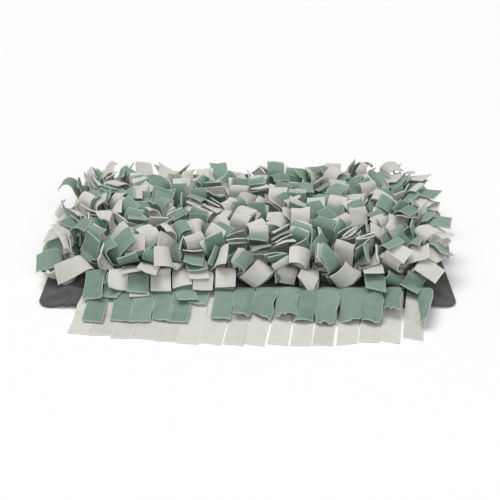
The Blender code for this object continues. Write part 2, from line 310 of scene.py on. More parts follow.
GREEN = fleece(
    "green fleece",
    shade=colour(0.242, 0.345, 0.280),
    deep=colour(0.150, 0.232, 0.178),
    cut=colour(0.52, 0.62, 0.54),
    # painted shade down at the seams
    painted_seam_shade=colour(0.030, 0.042, 0.036),
)
CREAM = fleece(
    "cream fleece",
    shade=colour(0.690, 0.683, 0.622),
    deep=colour(0.555, 0.548, 0.492),
    cut=colour(0.80, 0.79, 0.73),
    # painted shade down at the seams
    painted_seam_shade=colour(0.105, 0.105, 0.095),
)
print("fleece colours:", GREEN.name, "and", CREAM.name)

# %% [markdown]
# ## The base cloth
#
# The base is one thin, dark grey felt-like sheet with rounded corners. Its edge is turned under
# and stitched, which leaves a shallow groove a few millimetres in. It lies flat except for soft
# puckers beside the first row, where the sewing has drawn it up.
#
# It starts as a fine grid, whose corner cells are drawn onto circles to round the outline.
# Solidify gives the cloth its thickness, and a bevel turns the edge over. A few lines of code
# lift the puckers, because a soft lift is easier to say as a formula than to pull by hand.


# %% The base cloth's finish
def felt(name, shade, deep):
    made = Finish(name, Roughness=0.95, Sheen_Weight=0.2, Sheen_Roughness=0.5, Specular_IOR_Level=0.2)
    place = made.node("ShaderNodeTexCoord", output="Object")
    fibres = made.noise(made.stretched(place, (1500.0, 700.0, 900.0)), 1.0, 3.0, 0.6)
    clouds = made.noise(place, 60.0, 2.0)
    made.feed("Base Color", made.mixed(0.55 * fibres + 0.45 * clouds, deep, shade))
    made.bumped(fibres, 0.0004, 0.6)
    return made.material


GREY = felt("grey base felt", shade=colour(0.118, 0.118, 0.122), deep=colour(0.070, 0.070, 0.074))


# %% The base cloth
BASE_CELL = 0.0035
TURNED_EDGE = 0.0013
HEM_INSET = 0.0065
HEM_GROOVE = 0.0005
HEM_GROOVE_WIDTH = 0.0012
CORNER_FOLDS = (
    # x1, y1, x2, y2, half_width, height: fine folds and creases of the front corners
    (-0.2085, -0.1730, -0.2040, -0.1370, 0.0046, 0.0036),
    (-0.2340, -0.1500, -0.2140, -0.1370, 0.0038, 0.0031),
    (-0.2255, -0.1410, -0.2230, -0.1310, 0.0032, 0.0025),
    (-0.2140, -0.1730, -0.2105, -0.1500, 0.0022, -0.0050),
    (-0.2360, -0.1585, -0.2230, -0.1535, 0.0022, -0.0030),
    (-0.2200, -0.1600, -0.2150, -0.1450, 0.0022, -0.0030),
    (0.2220, -0.1720, 0.2180, -0.1400, 0.0060, 0.0020),
    (0.2400, -0.1500, 0.2300, -0.1380, 0.0045, 0.0014),
)


def ridges(x, y, folds):
    """The height at a point of each of these soft ridges."""
    for x1, y1, x2, y2, half_width, height in folds:
        along = Vector((x2 - x1, y2 - y1))
        offset = Vector((x - x1, y - y1))
        share = max(0.0, min(1.0, offset.dot(along) / along.length_squared))
        away = (offset - along * share).length
        yield height * math.exp(-0.5 * (away / half_width) ** 2)


def pucker_height(x, y):
    """How far the cloth is lifted at a point by the soft ridges beside the seam."""
    return max(0.0, *ridges(x, y, BASE_PUCKERS))


def past_corner(x, y):
    """How far a point is past the middles of the round corners, along each axis."""
    return abs(x) - (BASE_WIDTH / 2 - CORNER_RADIUS), abs(y) - (BASE_DEPTH / 2 - CORNER_RADIUS)


def edge_distance(x, y):
    """How far a point is inside the base's rounded outline."""
    over_x, over_y = past_corner(x, y)
    if over_x > 0 and over_y > 0:
        return CORNER_RADIUS - math.hypot(over_x, over_y)
    return CORNER_RADIUS - max(over_x, over_y)


bpy.ops.mesh.primitive_grid_add(
    x_subdivisions=round(BASE_WIDTH / BASE_CELL),
    y_subdivisions=round(BASE_DEPTH / BASE_CELL),
    size=1.0,
)
base = bpy.context.object
base.name = "mat_base"
bpy.ops.transform.resize(value=(BASE_WIDTH, BASE_DEPTH, 1.0))
bpy.ops.object.transform_apply(location=False, rotation=False, scale=True)
for vertex in base.data.vertices:
    x, y = vertex.co.x, vertex.co.y
    over_x, over_y = past_corner(x, y)
    if over_x > 0 and over_y > 0:
        # Each square ring of the corner becomes a round one.
        shrink = max(over_x, over_y) / math.hypot(over_x, over_y)
        vertex.co.x -= math.copysign(over_x * (1 - shrink), x)
        vertex.co.y -= math.copysign(over_y * (1 - shrink), y)
add_modifier(base, "SOLIDIFY", "cloth thickness", thickness=BASE_THICK, offset=1.0)
add_modifier(base, "BEVEL", "turned edge", width=TURNED_EDGE, segments=3, limit_method="ANGLE")
finish_shape(base)
for vertex in base.data.vertices:
    x, y = vertex.co.x, vertex.co.y
    above = vertex.co.z > BASE_THICK / 2
    vertex.co.z += max(0.0, pucker_height(x, y) + sum(ridges(x, y, CORNER_FOLDS)))
    if above:
        off_groove = (edge_distance(x, y) - HEM_INSET) / HEM_GROOVE_WIDTH
        vertex.co.z -= HEM_GROOVE * math.exp(-0.5 * off_groove**2)
base.data.materials.append(GREY)
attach(base, "root")
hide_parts("base_cloth")

# %% [markdown]
# ## How a strip falls
#
# The strips are the mat, so they get the most care. Nearly three hundred double strips can't be
# placed by hand, and strips that pass through each other look wrong at once. So the pile is
# built as it would be in life: each strip rises from its seam and then falls, section by section.
# A plan says how it would like to bend, twist and turn aside. Where the strips that already lie
# there leave no room for that, a section bends more or less, or the strip starts again.
#
# The strips at a row's ends turn outwards, over the base's edge. The front halves of the first
# row hang over the front edge and lie on the floor. The last row falls back.
#
# A strip is a list of frames. A frame is a point, the way that the strip is going, and the
# direction across its width. The same steps, with the same seed, made the plain solids, so each
# fleece strip follows its solid.


# %% Moving along a strip
# The root lies beside the seam, the stem stands up from it, and the free sections fall
ROOT_LENGTH = 0.010
ROOT_RISE = 86.0
STEM_LENGTH = 0.010
STEPS_PER_SECTION = 4
# The strips at a row's ends turn outwards
END_STRIPS = 3
END_STEM_TWIST = 42.0


def turned(first, second, degrees):
    """Two axes turned in their own plane, first towards second."""
    angle = math.radians(degrees)
    return (
        first * math.cos(angle) + second * math.sin(angle),
        second * math.cos(angle) - first * math.sin(angle),
    )


def advance(frame, length, bend, twist):
    """The frame at the end of a section that bends about its width and twists about its length."""
    point, tangent, across = frame
    normal = tangent.cross(across)
    for _ in range(STEPS_PER_SECTION):
        tangent, normal = turned(tangent, normal, bend / STEPS_PER_SECTION / 2)
        point = point + tangent * (length / STEPS_PER_SECTION)
        tangent, normal = turned(tangent, normal, bend / STEPS_PER_SECTION / 2)
        across, normal = turned(across, normal, twist / STEPS_PER_SECTION)
    return point, tangent, across


def strips_in(row):
    return FIRST_ROW_STRIPS if row == 0 else OTHER_ROW_STRIPS


def lane_x(row, index):
    """The middle of a strip's lane in its row."""
    middle = FIRST_ROW_MIDDLE_X if row == 0 else OTHER_ROW_MIDDLE_X
    return middle + (index - (strips_in(row) - 1) / 2) * STRIP_PITCH


def seam_y(row):
    return FIRST_SEAM_Y + row * ROW_PITCH


def root_of(key):
    """Where a strip leaves its spine: side is -1 at the front and 1 at the back."""
    row, index, side = key
    start = Vector((lane_x(row, index), seam_y(row) + side * SPINE_DEPTH / 2, SPINE_MIDDLE))
    return start, Vector((0, side, 0)), Vector((-side, 0, 0))


def outward_of(key):
    """1 at a row's right end, -1 at its left end and 0 between. Ends turn and fall off the row."""
    row, index, side = key
    if row == 0:
        return 0
    return (index >= strips_in(row) - END_STRIPS) - (index < END_STRIPS)


def root_frames(key, stem_bend=0.0):
    """The frames of a strip's seam end, the end of its root and the end of its stem."""
    frames = [root_of(key)]
    frames.append(advance(frames[0], ROOT_LENGTH, ROOT_RISE, 0.0))
    frames.append(advance(frames[1], STEM_LENGTH, stem_bend, END_STEM_TWIST * outward_of(key)))
    return frames


# %% Plans: how a strip would like to fall
FREE_SECTIONS = 4
SECTION_LENGTH = 0.0150
LENGTH_SPREAD = 0.0012
STEM_LEANS = (0.0, 34.0)
# How many halves fall forward, how far they fall, and how many curl up at the end
FRONT_HALF_FORWARD = 0.85
BACK_HALF_FORWARD = 0.60
FALLS = (20.0, 115.0)
FALL_PEAKS = (0.0, 2.6)
FALL_WIDTH = 1.5
CURL_SHARE = 0.35
CURLS = (-45.0, -10.0)
# The twist about a strip's length, and each section's share of it
TWIST_SPREAD = 60.0
MOST_TWIST = 105.0
TWIST_SHARES = (0.45, 0.30, 0.15, 0.10)
# The strips at a row's ends, the last row, and the back halves of the first row
END_TWIST = 38.0
END_SPREAD = 38.0
END_TWIST_SHARES = (0.70, 0.30, 0.0, 0.0)
END_FALLS = (95.0, 150.0)
END_PEAKS = (0.3, 1.6)
LAST_ROW_BACKWARD = 0.80
LAST_ROW_FALLS = (95.0, 160.0)
FIRST_ROW_FORWARD = (0, 1, 2, 3, 4, 5, 6, 10, 13, 15)
FIRST_ROW_TWIST = 0.4
FIRST_ROW_FALL = 165.0
FIRST_ROW_PEAK = 0.4
SIDEWAYS_TWIST = (40.0, 90.0)


def fall_plan(chance, key):
    """How one strip would fall: the way it bends, and its bend and twist in each section."""
    row, index, side = key
    towards_front = chance.random() < (FRONT_HALF_FORWARD if side < 0 else BACK_HALF_FORWARD)
    twist = chance.gauss(0, TWIST_SPREAD)
    fall = chance.uniform(*FALLS)
    peak = chance.uniform(*FALL_PEAKS)
    curl = chance.uniform(*CURLS) if chance.random() < CURL_SHARE else None
    outward = outward_of(key)
    over_front = row == 0 and index in FIRST_ROW_FORWARD
    if row == 0:
        towards_front = True
        fall, peak, curl = FIRST_ROW_FALL, FIRST_ROW_PEAK, None
        twist *= FIRST_ROW_TWIST
        if not over_front:
            twist = chance.choice((-1, 1)) * chance.uniform(*SIDEWAYS_TWIST)
    if row == ROWS - 1 and side > 0:
        towards_front = chance.random() > LAST_ROW_BACKWARD
        if not towards_front:
            fall, curl = chance.uniform(*LAST_ROW_FALLS), None
    shares = TWIST_SHARES
    if outward:
        towards_front, shares = True, END_TWIST_SHARES
        twist = outward * (END_TWIST + chance.uniform(-END_SPREAD, END_SPREAD))
        fall, peak, curl = chance.uniform(*END_FALLS), chance.uniform(*END_PEAKS), None
    way = side if towards_front else -side
    twist = max(-MOST_TWIST, min(MOST_TWIST, twist))
    weights = [math.exp(-(((level - peak) / FALL_WIDTH) ** 2)) for level in range(FREE_SECTIONS)]
    stem_bend = chance.uniform(*STEM_LEANS)
    bends = [(fall - stem_bend) * weight / sum(weights) for weight in weights]
    if curl is not None:
        bends[-1] = curl
    return {
        "way": way,
        "over_front": over_front,
        "bends": bends,
        "twists": [twist * share for share in shares],
        "stem_bend": stem_bend * way,
        "length": SECTION_LENGTH + chance.gauss(0, LENGTH_SPREAD),
    }


# %% The front strips, which lie open
# Their lengths are at the left, at the longest one and at the right
FRONT_LENGTHS = (0.100, 0.126, 0.114)
FRONT_MIDDLE_SHARE = 0.62
FRONT_LENGTH_SHARES = (0.985, 1.015)
FRONT_HEADINGS = (-5.0, -9.5)
FRONT_HEADING_SPREAD = 0.8
FRONT_RISE = 0.010
OVER_BASE = 0.0030
EDGE_LEAD = 0.006
EDGE_DROP = 0.022


def front_length(index):
    """The front strips are cut in a shallow arc: longest right of the middle."""
    left, longest, right = FRONT_LENGTHS
    place = index / (FIRST_ROW_STRIPS - 1)
    if place < FRONT_MIDDLE_SHARE:
        return left + (longest - left) * math.sin(math.pi / 2 * place / FRONT_MIDDLE_SHARE)
    return longest - (longest - right) * ((place - FRONT_MIDDLE_SHARE) / (1 - FRONT_MIDDLE_SHARE)) ** 2


def steps_of(profile):
    """Each point of a profile but the first, with the rise and the run from before to after it."""
    for number in range(1, len(profile)):
        before, after = profile[number - 1], profile[min(number + 1, len(profile) - 1)]
        yield (*profile[number], after[1] - before[1], after[0] - before[0])


def front_frames(chance, index):
    """Frames of a front strip: along the base cloth, down over its edge and flat on the floor."""
    start, tangent, across = root_of((0, index, -1))
    place = index / (FIRST_ROW_STRIPS - 1)
    first, last = FRONT_HEADINGS
    heading = first + (last - first) * place
    heading += chance.uniform(-FRONT_HEADING_SPREAD, FRONT_HEADING_SPREAD)
    ahead, sideways = turned(tangent, across, heading)
    up = Vector((0, 0, 1))
    edge = start.y + BASE_DEPTH / 2
    floor_level = LAYERS_THICK / 2
    top_level = SPINE_MIDDLE + OVER_BASE
    reach = front_length(index) * chance.uniform(*FRONT_LENGTH_SHARES)
    profile = (
        # ahead of the root, height of the middle of the layers
        (0.0, SPINE_MIDDLE),
        (FRONT_RISE, top_level),
        (edge + EDGE_LEAD, top_level),
        (edge + EDGE_LEAD + EDGE_DROP * 0.45, (top_level + floor_level) / 2),
        (edge + EDGE_LEAD + EDGE_DROP, floor_level),
        (reach, floor_level),
    )
    frames = [(start, tangent, across)]
    for distance, height, rise, run in steps_of(profile):
        slope = 0.0 if height == floor_level else math.degrees(math.atan2(rise, run))
        point = Vector((start.x, start.y, height)) + ahead * distance
        frames.append((point, turned(ahead, up, slope)[0], sideways))
    return frames


# %% Room: does a strip clear the others?
# The room that the pile may fill, and the corner in front of it that is kept clear
PILE_LEFT = -0.267
PILE_RIGHT = 0.260
PILE_BACK = 0.212
PILE_TOP = 0.074
FRONT_CLEAR_X = -0.010
FRONT_CLEAR_Y = -0.137
# Gaps to the floor and between strips, and the base's edges that are kept clear
OVER_FLOOR = 0.0040
CLEARANCE = 0.0008
HAIR = 0.0001
EDGE_STRIP = 0.004
EDGE_ROOM = 0.0014
GROUND_CELL = 0.005


def grid_faces(start, rows, columns):
    """The faces of a grid of points, given the number of its first point."""
    corners = [start + row * columns + column for row in range(rows - 1) for column in range(columns - 1)]
    return [(corner, corner + 1, corner + columns + 1, corner + columns) for corner in corners]


def ring(frame, thick, grow=0.0):
    """The four corners of a strip's cross-section."""
    point, tangent, across = frame
    wide = across * (STRIP_WIDTH / 2 + grow)
    deep = tangent.cross(across) * (thick / 2 + grow)
    return [point - wide - deep, point + wide - deep, point + wide + deep, point - wide + deep]


def side_triangles(low, high):
    """The sides of a tube between two rings. Both wide faces fold along the same diagonal."""
    triangles = []
    for corner in range(4):
        after = (corner + 1) % 4
        a, b, c, d = low[corner], low[after], high[after], high[corner]
        triangles += [(a, b, d), (b, c, d)] if corner == 2 else [(a, b, c), (a, c, d)]
    return triangles


def tube_tree(frames, grow, thick=LAYERS_THICK):
    """The strip's closed tube as a search tree for overlaps."""
    points = [corner for frame in frames for corner in ring(frame, thick, grow)]
    rings = [range(start, start + 4) for start in range(0, len(points), 4)]
    faces = [tuple(reversed(rings[0])), tuple(rings[-1])]
    for low, high in zip(rings, rings[1:]):
        faces += side_triangles(low, high)
    low = [min(point[axis] for point in points) for axis in range(3)]
    high = [max(point[axis] for point in points) for axis in range(3)]
    return BVHTree.FromPolygons(points, faces), low, high


def box_tree(low, high):
    """A box as a search tree for overlaps."""
    points = [(x, y, z) for x in (low[0], high[0]) for y in (low[1], high[1]) for z in (low[2], high[2])]
    faces = [(0, 1, 3, 2), (4, 6, 7, 5), (0, 4, 5, 1), (2, 3, 7, 6), (0, 2, 6, 4), (1, 5, 7, 3)]
    return BVHTree.FromPolygons(points, faces), low, high


def ground_tree():
    """The base cloth's top, with its puckers, as a search tree. It is low enough for the roots."""
    level = SPINE_BOTTOM - CLEARANCE - HAIR
    wide, deep = round(BASE_WIDTH / GROUND_CELL), round(BASE_DEPTH / GROUND_CELL)
    places = [
        ((column / wide - 0.5) * BASE_WIDTH, (row / deep - 0.5) * BASE_DEPTH)
        for row in range(deep + 1)
        for column in range(wide + 1)
    ]
    points = [(x, y, level + pucker_height(x, y)) for x, y in places]
    faces = grid_faces(0, deep + 1, wide + 1)
    highest = max(point[2] for point in points)
    return BVHTree.FromPolygons(points, faces), points[0], (points[-1][0], points[-1][1], highest)


def base_trees():
    """The base cloth as obstacles: its top, and low walls along the edges that are kept clear."""
    x, y = BASE_WIDTH / 2, BASE_DEPTH / 2
    inner, room, top = EDGE_STRIP, EDGE_ROOM, BASE_THICK + EDGE_ROOM
    return {
        "top": ground_tree(),
        "left edge": box_tree((-x - room, -y - room, 0.0), (-x + inner, y + room, top)),
        "right edge": box_tree((x - inner, -y - room, 0.0), (x + room, y + room, top)),
        "back edge": box_tree((-x - room, y - inner, 0.0), (x + room, y + room, top)),
    }


def boxes_apart(first, second):
    """True where the boxes round two search trees don't meet."""
    (_, low, high), (_, other_low, other_high) = first, second
    return (
        (low[0] > other_high[0] or other_low[0] > high[0])
        or (low[1] > other_high[1] or other_low[1] > high[1])
        or (low[2] > other_high[2] or other_low[2] > high[2])
    )


def inside_limits(frame, over_front, thick=LAYERS_THICK):
    """True where a strip's cross-section is in the pile's room and over what it lies on."""
    for corner in ring(frame, thick):
        over_base = abs(corner.x) < BASE_WIDTH / 2 and abs(corner.y) < BASE_DEPTH / 2
        lowest = BASE_THICK + OVER_BASE if over_base else OVER_FLOOR
        if not lowest <= corner.z <= PILE_TOP:
            return False
        if not PILE_LEFT <= corner.x <= PILE_RIGHT or corner.y > PILE_BACK:
            return False
        if not over_front and corner.x > FRONT_CLEAR_X and corner.y < FRONT_CLEAR_Y:
            return False
    return True


class Pile:
    """The strips laid so far, and the roots that are kept free for those still to come."""

    def __init__(self):
        self.roots = {}
        self.laid = base_trees()

    def keep_root(self, key, frames):
        self.roots[key] = tube_tree(frames, 0.0)

    def lay(self, key, frames, thick=LAYERS_THICK):
        self.roots.pop(key, None)
        self.laid[key] = tube_tree(frames, 0.0, thick)

    def has_room(self, skipped, frames, own, grow=CLEARANCE, thick=LAYERS_THICK):
        """True where the tube through these frames clears the other strips and its own start."""
        tested = tube_tree(frames, grow, thick)
        if len(own) > 1:
            start = tube_tree(own, 0.0, thick)
            if not boxes_apart(tested, start) and tested[0].overlap(start[0]):
                return False
        for group in (self.laid, self.roots):
            for other, tree in group.items():
                if other in skipped or boxes_apart(tested, tree):
                    continue
                if tested[0].overlap(tree[0]):
                    return False
        return True


# %% Falling: each section goes where it has room
# What is tried in turn, on top of the planned bend
BEND_STEPS = (0.0, 14.0, -14.0, 28.0, -28.0, 44.0, -44.0, -62.0, -80.0)
MOST_BEND = 85.0
TRIES = 18
TESTS_PER_TRY = 60
# The stem ends at this frame, where the layers may part. A whole strip has this many frames
PART_AT = 2
WHOLE_STRIP = PART_AT + 1 + FREE_SECTIONS


def fall_options(plan, frame, level):
    """Frames that the next section may end in, the wanted one first."""
    ends = []
    for step in BEND_STEPS:
        bend = max(-MOST_BEND, min(MOST_BEND, plan["bends"][level] + step))
        ends.append(advance(frame, plan["length"], bend * plan["way"], plan["twists"][level]))
    return ends


def fall(plan, start, first, fits, thick=LAYERS_THICK):
    """Let a strip fall on from its start, section by section from the first one given.

    Each section goes as planned where fits says that it has room, and where it hasn't, the strip
    backs up. Gives the longest way that was found.
    """
    longest, tests = [], 0

    def add(frames, level):
        nonlocal longest, tests
        if len(frames) > len(longest):
            longest = frames
        if level == FREE_SECTIONS:
            return True
        for end in fall_options(plan, frames[-1], level):
            tests += 1
            if tests > TESTS_PER_TRY:
                return False
            if inside_limits(end, plan["over_front"], thick) and fits(frames, end, level):
                if add(frames + [end], level + 1):
                    return True
        return False

    add(start, first)
    return longest


def best_fall(tries, one_fall):
    """The best of a few falls: the first of full length, or else the longest."""
    best = []
    for _ in range(tries):
        frames = one_fall()
        if len(frames) > len(best):
            best = frames
        if len(best) == WHOLE_STRIP:
            break
    return best


def settle(pile, chance, key):
    """Let one strip fall where it has room, and lay it there."""

    def fits(frames, end, _):
        return pile.has_room((key,), [frames[-1], end], frames[:-1])

    def one_fall():
        plan = fall_plan(chance, key)
        start = root_frames(key, plan["stem_bend"])
        return fall(plan, start, 0, fits) if pile.has_room((key,), start, []) else []

    best = best_fall(TRIES, one_fall) or root_frames(key)
    pile.lay(key, best)
    return best


# %% Lay the whole pile, both layers together
PILE_SEED = 33
KEPT_STEM = 0.040
ROW_MIXING = 0.7
END_LEAD = 0.18


def end_lead(key):
    """How much sooner a strip is laid, in rows: from a row's ends inwards."""
    if not outward_of(key):
        return 0.0
    from_end = min(key[1], strips_in(key[0]) - 1 - key[1])
    return END_LEAD * (END_STRIPS - from_end) + ROW_MIXING


def lay_pile():
    """Frames of every strip: {(row, index, side): frames}."""
    chance = random.Random(PILE_SEED)
    pile = Pile()
    strips = {}
    keys = [
        (row, index, side)
        for row in range(ROWS)
        for index in range(strips_in(row))
        for side in (-1, 1)
    ]
    for key in keys:
        kept = root_frames(key)
        kept.append(advance(kept[-1], KEPT_STEM - STEM_LENGTH, 0.0, 0.0))
        pile.keep_root(key, kept)
    for index in range(FIRST_ROW_STRIPS):
        key = (0, index, -1)
        strips[key] = front_frames(chance, index)
        pile.lay(key, strips[key])
    standing = [key for key in keys if key not in strips]
    standing.sort(key=lambda key: key[0] + chance.uniform(-ROW_MIXING, ROW_MIXING) - end_lead(key))
    for key in standing:
        strips[key] = settle(pile, chance, key)
    return pile, strips


pile, strips = lay_pile()
print("laid", len(strips), "strips; the highest point is",
      round(max(frame[0].z for frames in strips.values() for frame in frames), 4))

# %% [markdown]
# ## Parting the two layers
#
# Green and cream lie together at the seam, but each layer goes its own way higher up. One of the
# two keeps to the middle of the solid. The other leaves it at the stem, towards its own side,
# and falls anew through the room that is left. Where there is none, the two stay together.

# %% Part the layers
LAYER_THICK = 0.0014
LAYER_APART = 0.0015
LAYER_CLEARANCE = 0.0006
LAYER_TRIES = 7
PART_LEVELS = 3
PART_TWIST = 40.0


def moved(frame, distance):
    """The frame moved along its normal."""
    point, tangent, across = frame
    return point + tangent.cross(across) * distance, tangent, across


def part_layer(pile, chance, key, leader, way, first):
    """Let the second layer of a strip leave the first, on its way side (1 or -1), and fall on its own.

    It leaves at the end of the stem where first is 0, and first sections further up otherwise.
    """
    leave = PART_AT + first
    together = [moved(frame, way * LAYER_APART) for frame in leader[: leave + 1]]

    def fits(frames, end, level):
        skipped = (key, (key, "stem"))
        if level == first:
            skipped += ((key, "free"),)
            point, tangent, across = leader[leave + 1]
            if (end[0] - point).dot(tangent.cross(across)) * way < LAYER_APART:
                return False
        section, own = [frames[-1], end], frames[leave:-1]
        return pile.has_room(skipped, section, own, LAYER_CLEARANCE, LAYER_THICK)

    def one_fall():
        plan = fall_plan(chance, key)
        plan["twists"][first] += chance.uniform(-1, 1) * PART_TWIST
        return fall(plan, together, first, fits, LAYER_THICK)

    return best_fall(LAYER_TRIES, one_fall)


def part_layers(pile, strips):
    """Frames of both layers of every strip: {key: (upper, lower)}."""
    chance = random.Random(PILE_SEED + 1)
    layers = {}
    keys = [key for key in strips if key[0] > 0 or key[2] > 0]
    chance.shuffle(keys)
    parted = [0] * FREE_SECTIONS
    for key in keys:
        leader = strips[key]
        way = chance.choice((-1, 1))
        own = pile.laid.pop(key)
        follower = []
        for first in range(min(PART_LEVELS, len(leader) - PART_AT - 1)):
            pile.laid[(key, "stem")] = tube_tree(leader[: PART_AT + first + 1], 0.0)
            pile.laid[(key, "free")] = tube_tree(leader[PART_AT + first :], 0.0, LAYER_THICK)
            follower = part_layer(pile, chance, key, leader, way, first)
            if len(follower) >= min(len(leader), PART_AT + first + 3):
                break
            follower = []
            way = -way
        if follower:
            pile.laid[(key, "second")] = tube_tree(follower[PART_AT + first :], 0.0, LAYER_THICK)
            parted[first] += 1
        else:
            leader = [moved(frame, -way * LAYER_APART / 2) for frame in strips[key]]
            follower = [moved(frame, way * LAYER_APART / 2) for frame in strips[key]]
            pile.laid[key] = own
        layers[key] = (follower, leader) if way > 0 else (leader, follower)
    print("parted the layers of", parted, "strips of", len(keys))
    return layers


# %% The front strips' green layer
FRONT_GREEN_TOP = 0.0045
FRONT_GREEN_TURN = 2.0
SHIFT_GROWTH = 2.2
FRONT_CREAM_CUP = 0.0002
FRONT_CREAM_WIDTHS = (0.0254, 0.0226)
FRONT_GAPS_FROM = 7
FRONT_GREENS = (
    # shift along the row, reach, bulge, cup, roll in degrees, height of the cut end, taper,
    # crumple, width
    (0.0110, 0.079, 0.0010, 0.0004, -2.0, 0.0040, 0.00, 0.0006, 0.0240),
    (0.0150, 0.077, 0.0012, -0.0006, 2.0, 0.0042, 0.04, 0.0008, 0.0232),
    (0.0135, 0.079, 0.0008, 0.0005, -2.0, 0.0038, 0.00, 0.0006, 0.0240),
    (0.0110, 0.076, 0.0015, -0.0008, 2.0, 0.0044, 0.06, 0.0010, 0.0232),
    (0.0080, 0.080, 0.0010, 0.0004, -1.0, 0.0040, 0.00, 0.0006, 0.0236),
    (-0.0010, 0.049, 0.0014, -0.0010, -4.0, 0.0105, 0.02, 0.0012, 0.0220),
    (0.0050, 0.075, 0.0024, -0.0016, 6.0, 0.0050, 0.02, 0.0014, 0.0244),
    (0.0020, 0.070, 0.0050, -0.0030, -10.0, 0.0076, 0.10, 0.0028, 0.0246),
    (0.0014, 0.071, 0.0070, -0.0040, 10.0, 0.0062, 0.16, 0.0030, 0.0258),
    (0.0018, 0.072, 0.0085, -0.0042, 14.0, 0.0090, 0.12, 0.0038, 0.0262),
    (0.0000, 0.079, 0.0080, -0.0044, 5.0, 0.0050, 0.20, 0.0030, 0.0272),
    (-0.0010, 0.084, 0.0095, -0.0050, 10.0, 0.0054, 0.24, 0.0034, 0.0270),
    (0.0000, 0.079, 0.0085, -0.0046, 6.0, 0.0048, 0.16, 0.0030, 0.0276),
    (-0.0015, 0.082, 0.0090, -0.0050, 13.0, 0.0052, 0.22, 0.0036, 0.0268),
    (-0.0020, 0.066, 0.0085, -0.0030, 22.0, 0.0130, 0.10, 0.0040, 0.0220),
    (0.0120, 0.090, 0.0070, -0.0045, 82.0, 0.0105, 0.45, 0.0020, 0.0210),
)


def front_green_frames(chance, index, under):
    """The green layer over a front strip: it bulges over the edge and ends on the cream layer."""
    shift, reach, bulge, _, roll, end_height = FRONT_GREENS[index][:6]
    start, tangent, across = moved(under[0], LAYER_APART / 2)
    ahead = (under[-1][0] - under[-2][0]).normalized()
    ahead, sideways = turned(ahead, under[-1][2], chance.uniform(-FRONT_GREEN_TURN, FRONT_GREEN_TURN))
    up = Vector((0, 0, 1))
    level = SPINE_MIDDLE + LAYER_APART / 2
    profile = (
        # share of the reach, height over the floor
        (0.00, level),
        (0.14, level + FRONT_GREEN_TOP * 0.6 + bulge * 0.20),
        (0.36, level + FRONT_GREEN_TOP + bulge * 0.65),
        (0.60, level + FRONT_GREEN_TOP * 0.6 + bulge),
        (0.84, end_height * 0.7 + 0.0030 + bulge * 0.70),
        (1.00, end_height),
    )
    frames = [(start, tangent, across)]
    for share, height, rise, run in steps_of(profile):
        aside = shift * min(1.0, share * SHIFT_GROWTH)
        point = Vector((start.x + aside, start.y, height)) + ahead * (share * reach)
        tangent = turned(ahead, up, math.degrees(math.atan(rise / (run * reach))))[0]
        normal = tangent.cross(sideways)
        frames.append((point, tangent, turned(sideways, normal, roll * share)[0]))
    return frames


layers = {}
front = random.Random(PILE_SEED + 2)
for index in range(FIRST_ROW_STRIPS):
    key = (0, index, -1)
    cream = [moved(frame, -LAYER_APART / 2) for frame in strips[key]]
    green = front_green_frames(front, index, strips[key])
    layers[key] = (green, cream)
    pile.laid[(key, "green")] = tube_tree(green, 0.0, LAYER_THICK)
layers.update(part_layers(pile, strips))

# %% [markdown]
# ## Letting the pile settle
#
# So far every strip holds the shape that it was given. A short cloth simulation lets all of
# them sag together: each layer becomes a narrow sheet held at its seam, the sheets push each
# other aside, and gravity does the rest. Gravity is turned down, because at this small size
# real gravity would be over in a few frames.
#
# Only the middle and the two edges of each strip are simulated. The frames are then read back
# from those three lines of points, so that the finer cloth below can follow them.

# %% Settle the pile with a cloth simulation
SETTLE_FRAMES = 30
SETTLE_GRAVITY = 0.06
SIM_COLUMNS = (-1.0, 0.0, 1.0)
SIM_ROWS_A_SECTION = 2
SIM_HELD_ROWS = 2
STOP_THICK = 0.001
STOP_OVER_BASE = 0.0005
STOP_FRICTION = 20.0
# Light and limp, but hard to stretch, and slowed by the air
FLEECE_CLOTH = {
    "mass": 0.05,
    "tension_stiffness": 10.0,
    "compression_stiffness": 10.0,
    "shear_stiffness": 5.0,
    "bending_stiffness": 0.03,
    "bending_damping": 0.5,
    "air_damping": 3.0,
}
# Layers keep their distance from each other and hardly slide
FLEECE_TOUCHING = {
    "use_self_collision": True,
    "self_distance_min": LAYER_APART,
    "distance_min": 0.0015,
    "self_friction": 5.0,
    "collision_quality": 2,
}


def squared(across, tangent):
    """The direction across a strip, made square to the way that the strip is going."""
    return (across - tangent * across.dot(tangent)).normalized()


def between(first, second, share):
    """The frame at a share of the way along a smooth curve from one frame to the next."""
    point_a, tangent_a, across_a = first
    point_b, tangent_b, across_b = second
    reach = (point_b - point_a).length
    s2, s3 = share**2, share**3
    point = (
        point_a * (2 * s3 - 3 * s2 + 1)
        + tangent_a * reach * (s3 - 2 * s2 + share)
        + point_b * (3 * s2 - 2 * s3)
        + tangent_b * reach * (s3 - s2)
    )
    tangent = (
        (point_b - point_a) * (6 * share - 6 * s2)
        + tangent_a * reach * (3 * s2 - 4 * share + 1)
        + tangent_b * reach * (3 * s2 - 2 * share)
    ).normalized()
    return point, tangent, squared(across_a.lerp(across_b, share), tangent)


def smooth_line(frames, per_section):
    """More frames on the smooth curve through these ones."""
    line = [frames[0]]
    for first, second in zip(frames, frames[1:]):
        for step in range(1, per_section + 1):
            line.append(between(first, second, step / per_section))
    return line


def add_collider(name, corners):
    """A flat sheet that the strips can't fall through."""
    obj = linked_mesh(name, corners, [range(len(corners))])
    add_modifier(obj, "COLLISION", "stop")
    set_all(obj.collision, thickness_outer=STOP_THICK, cloth_friction=STOP_FRICTION)
    return obj


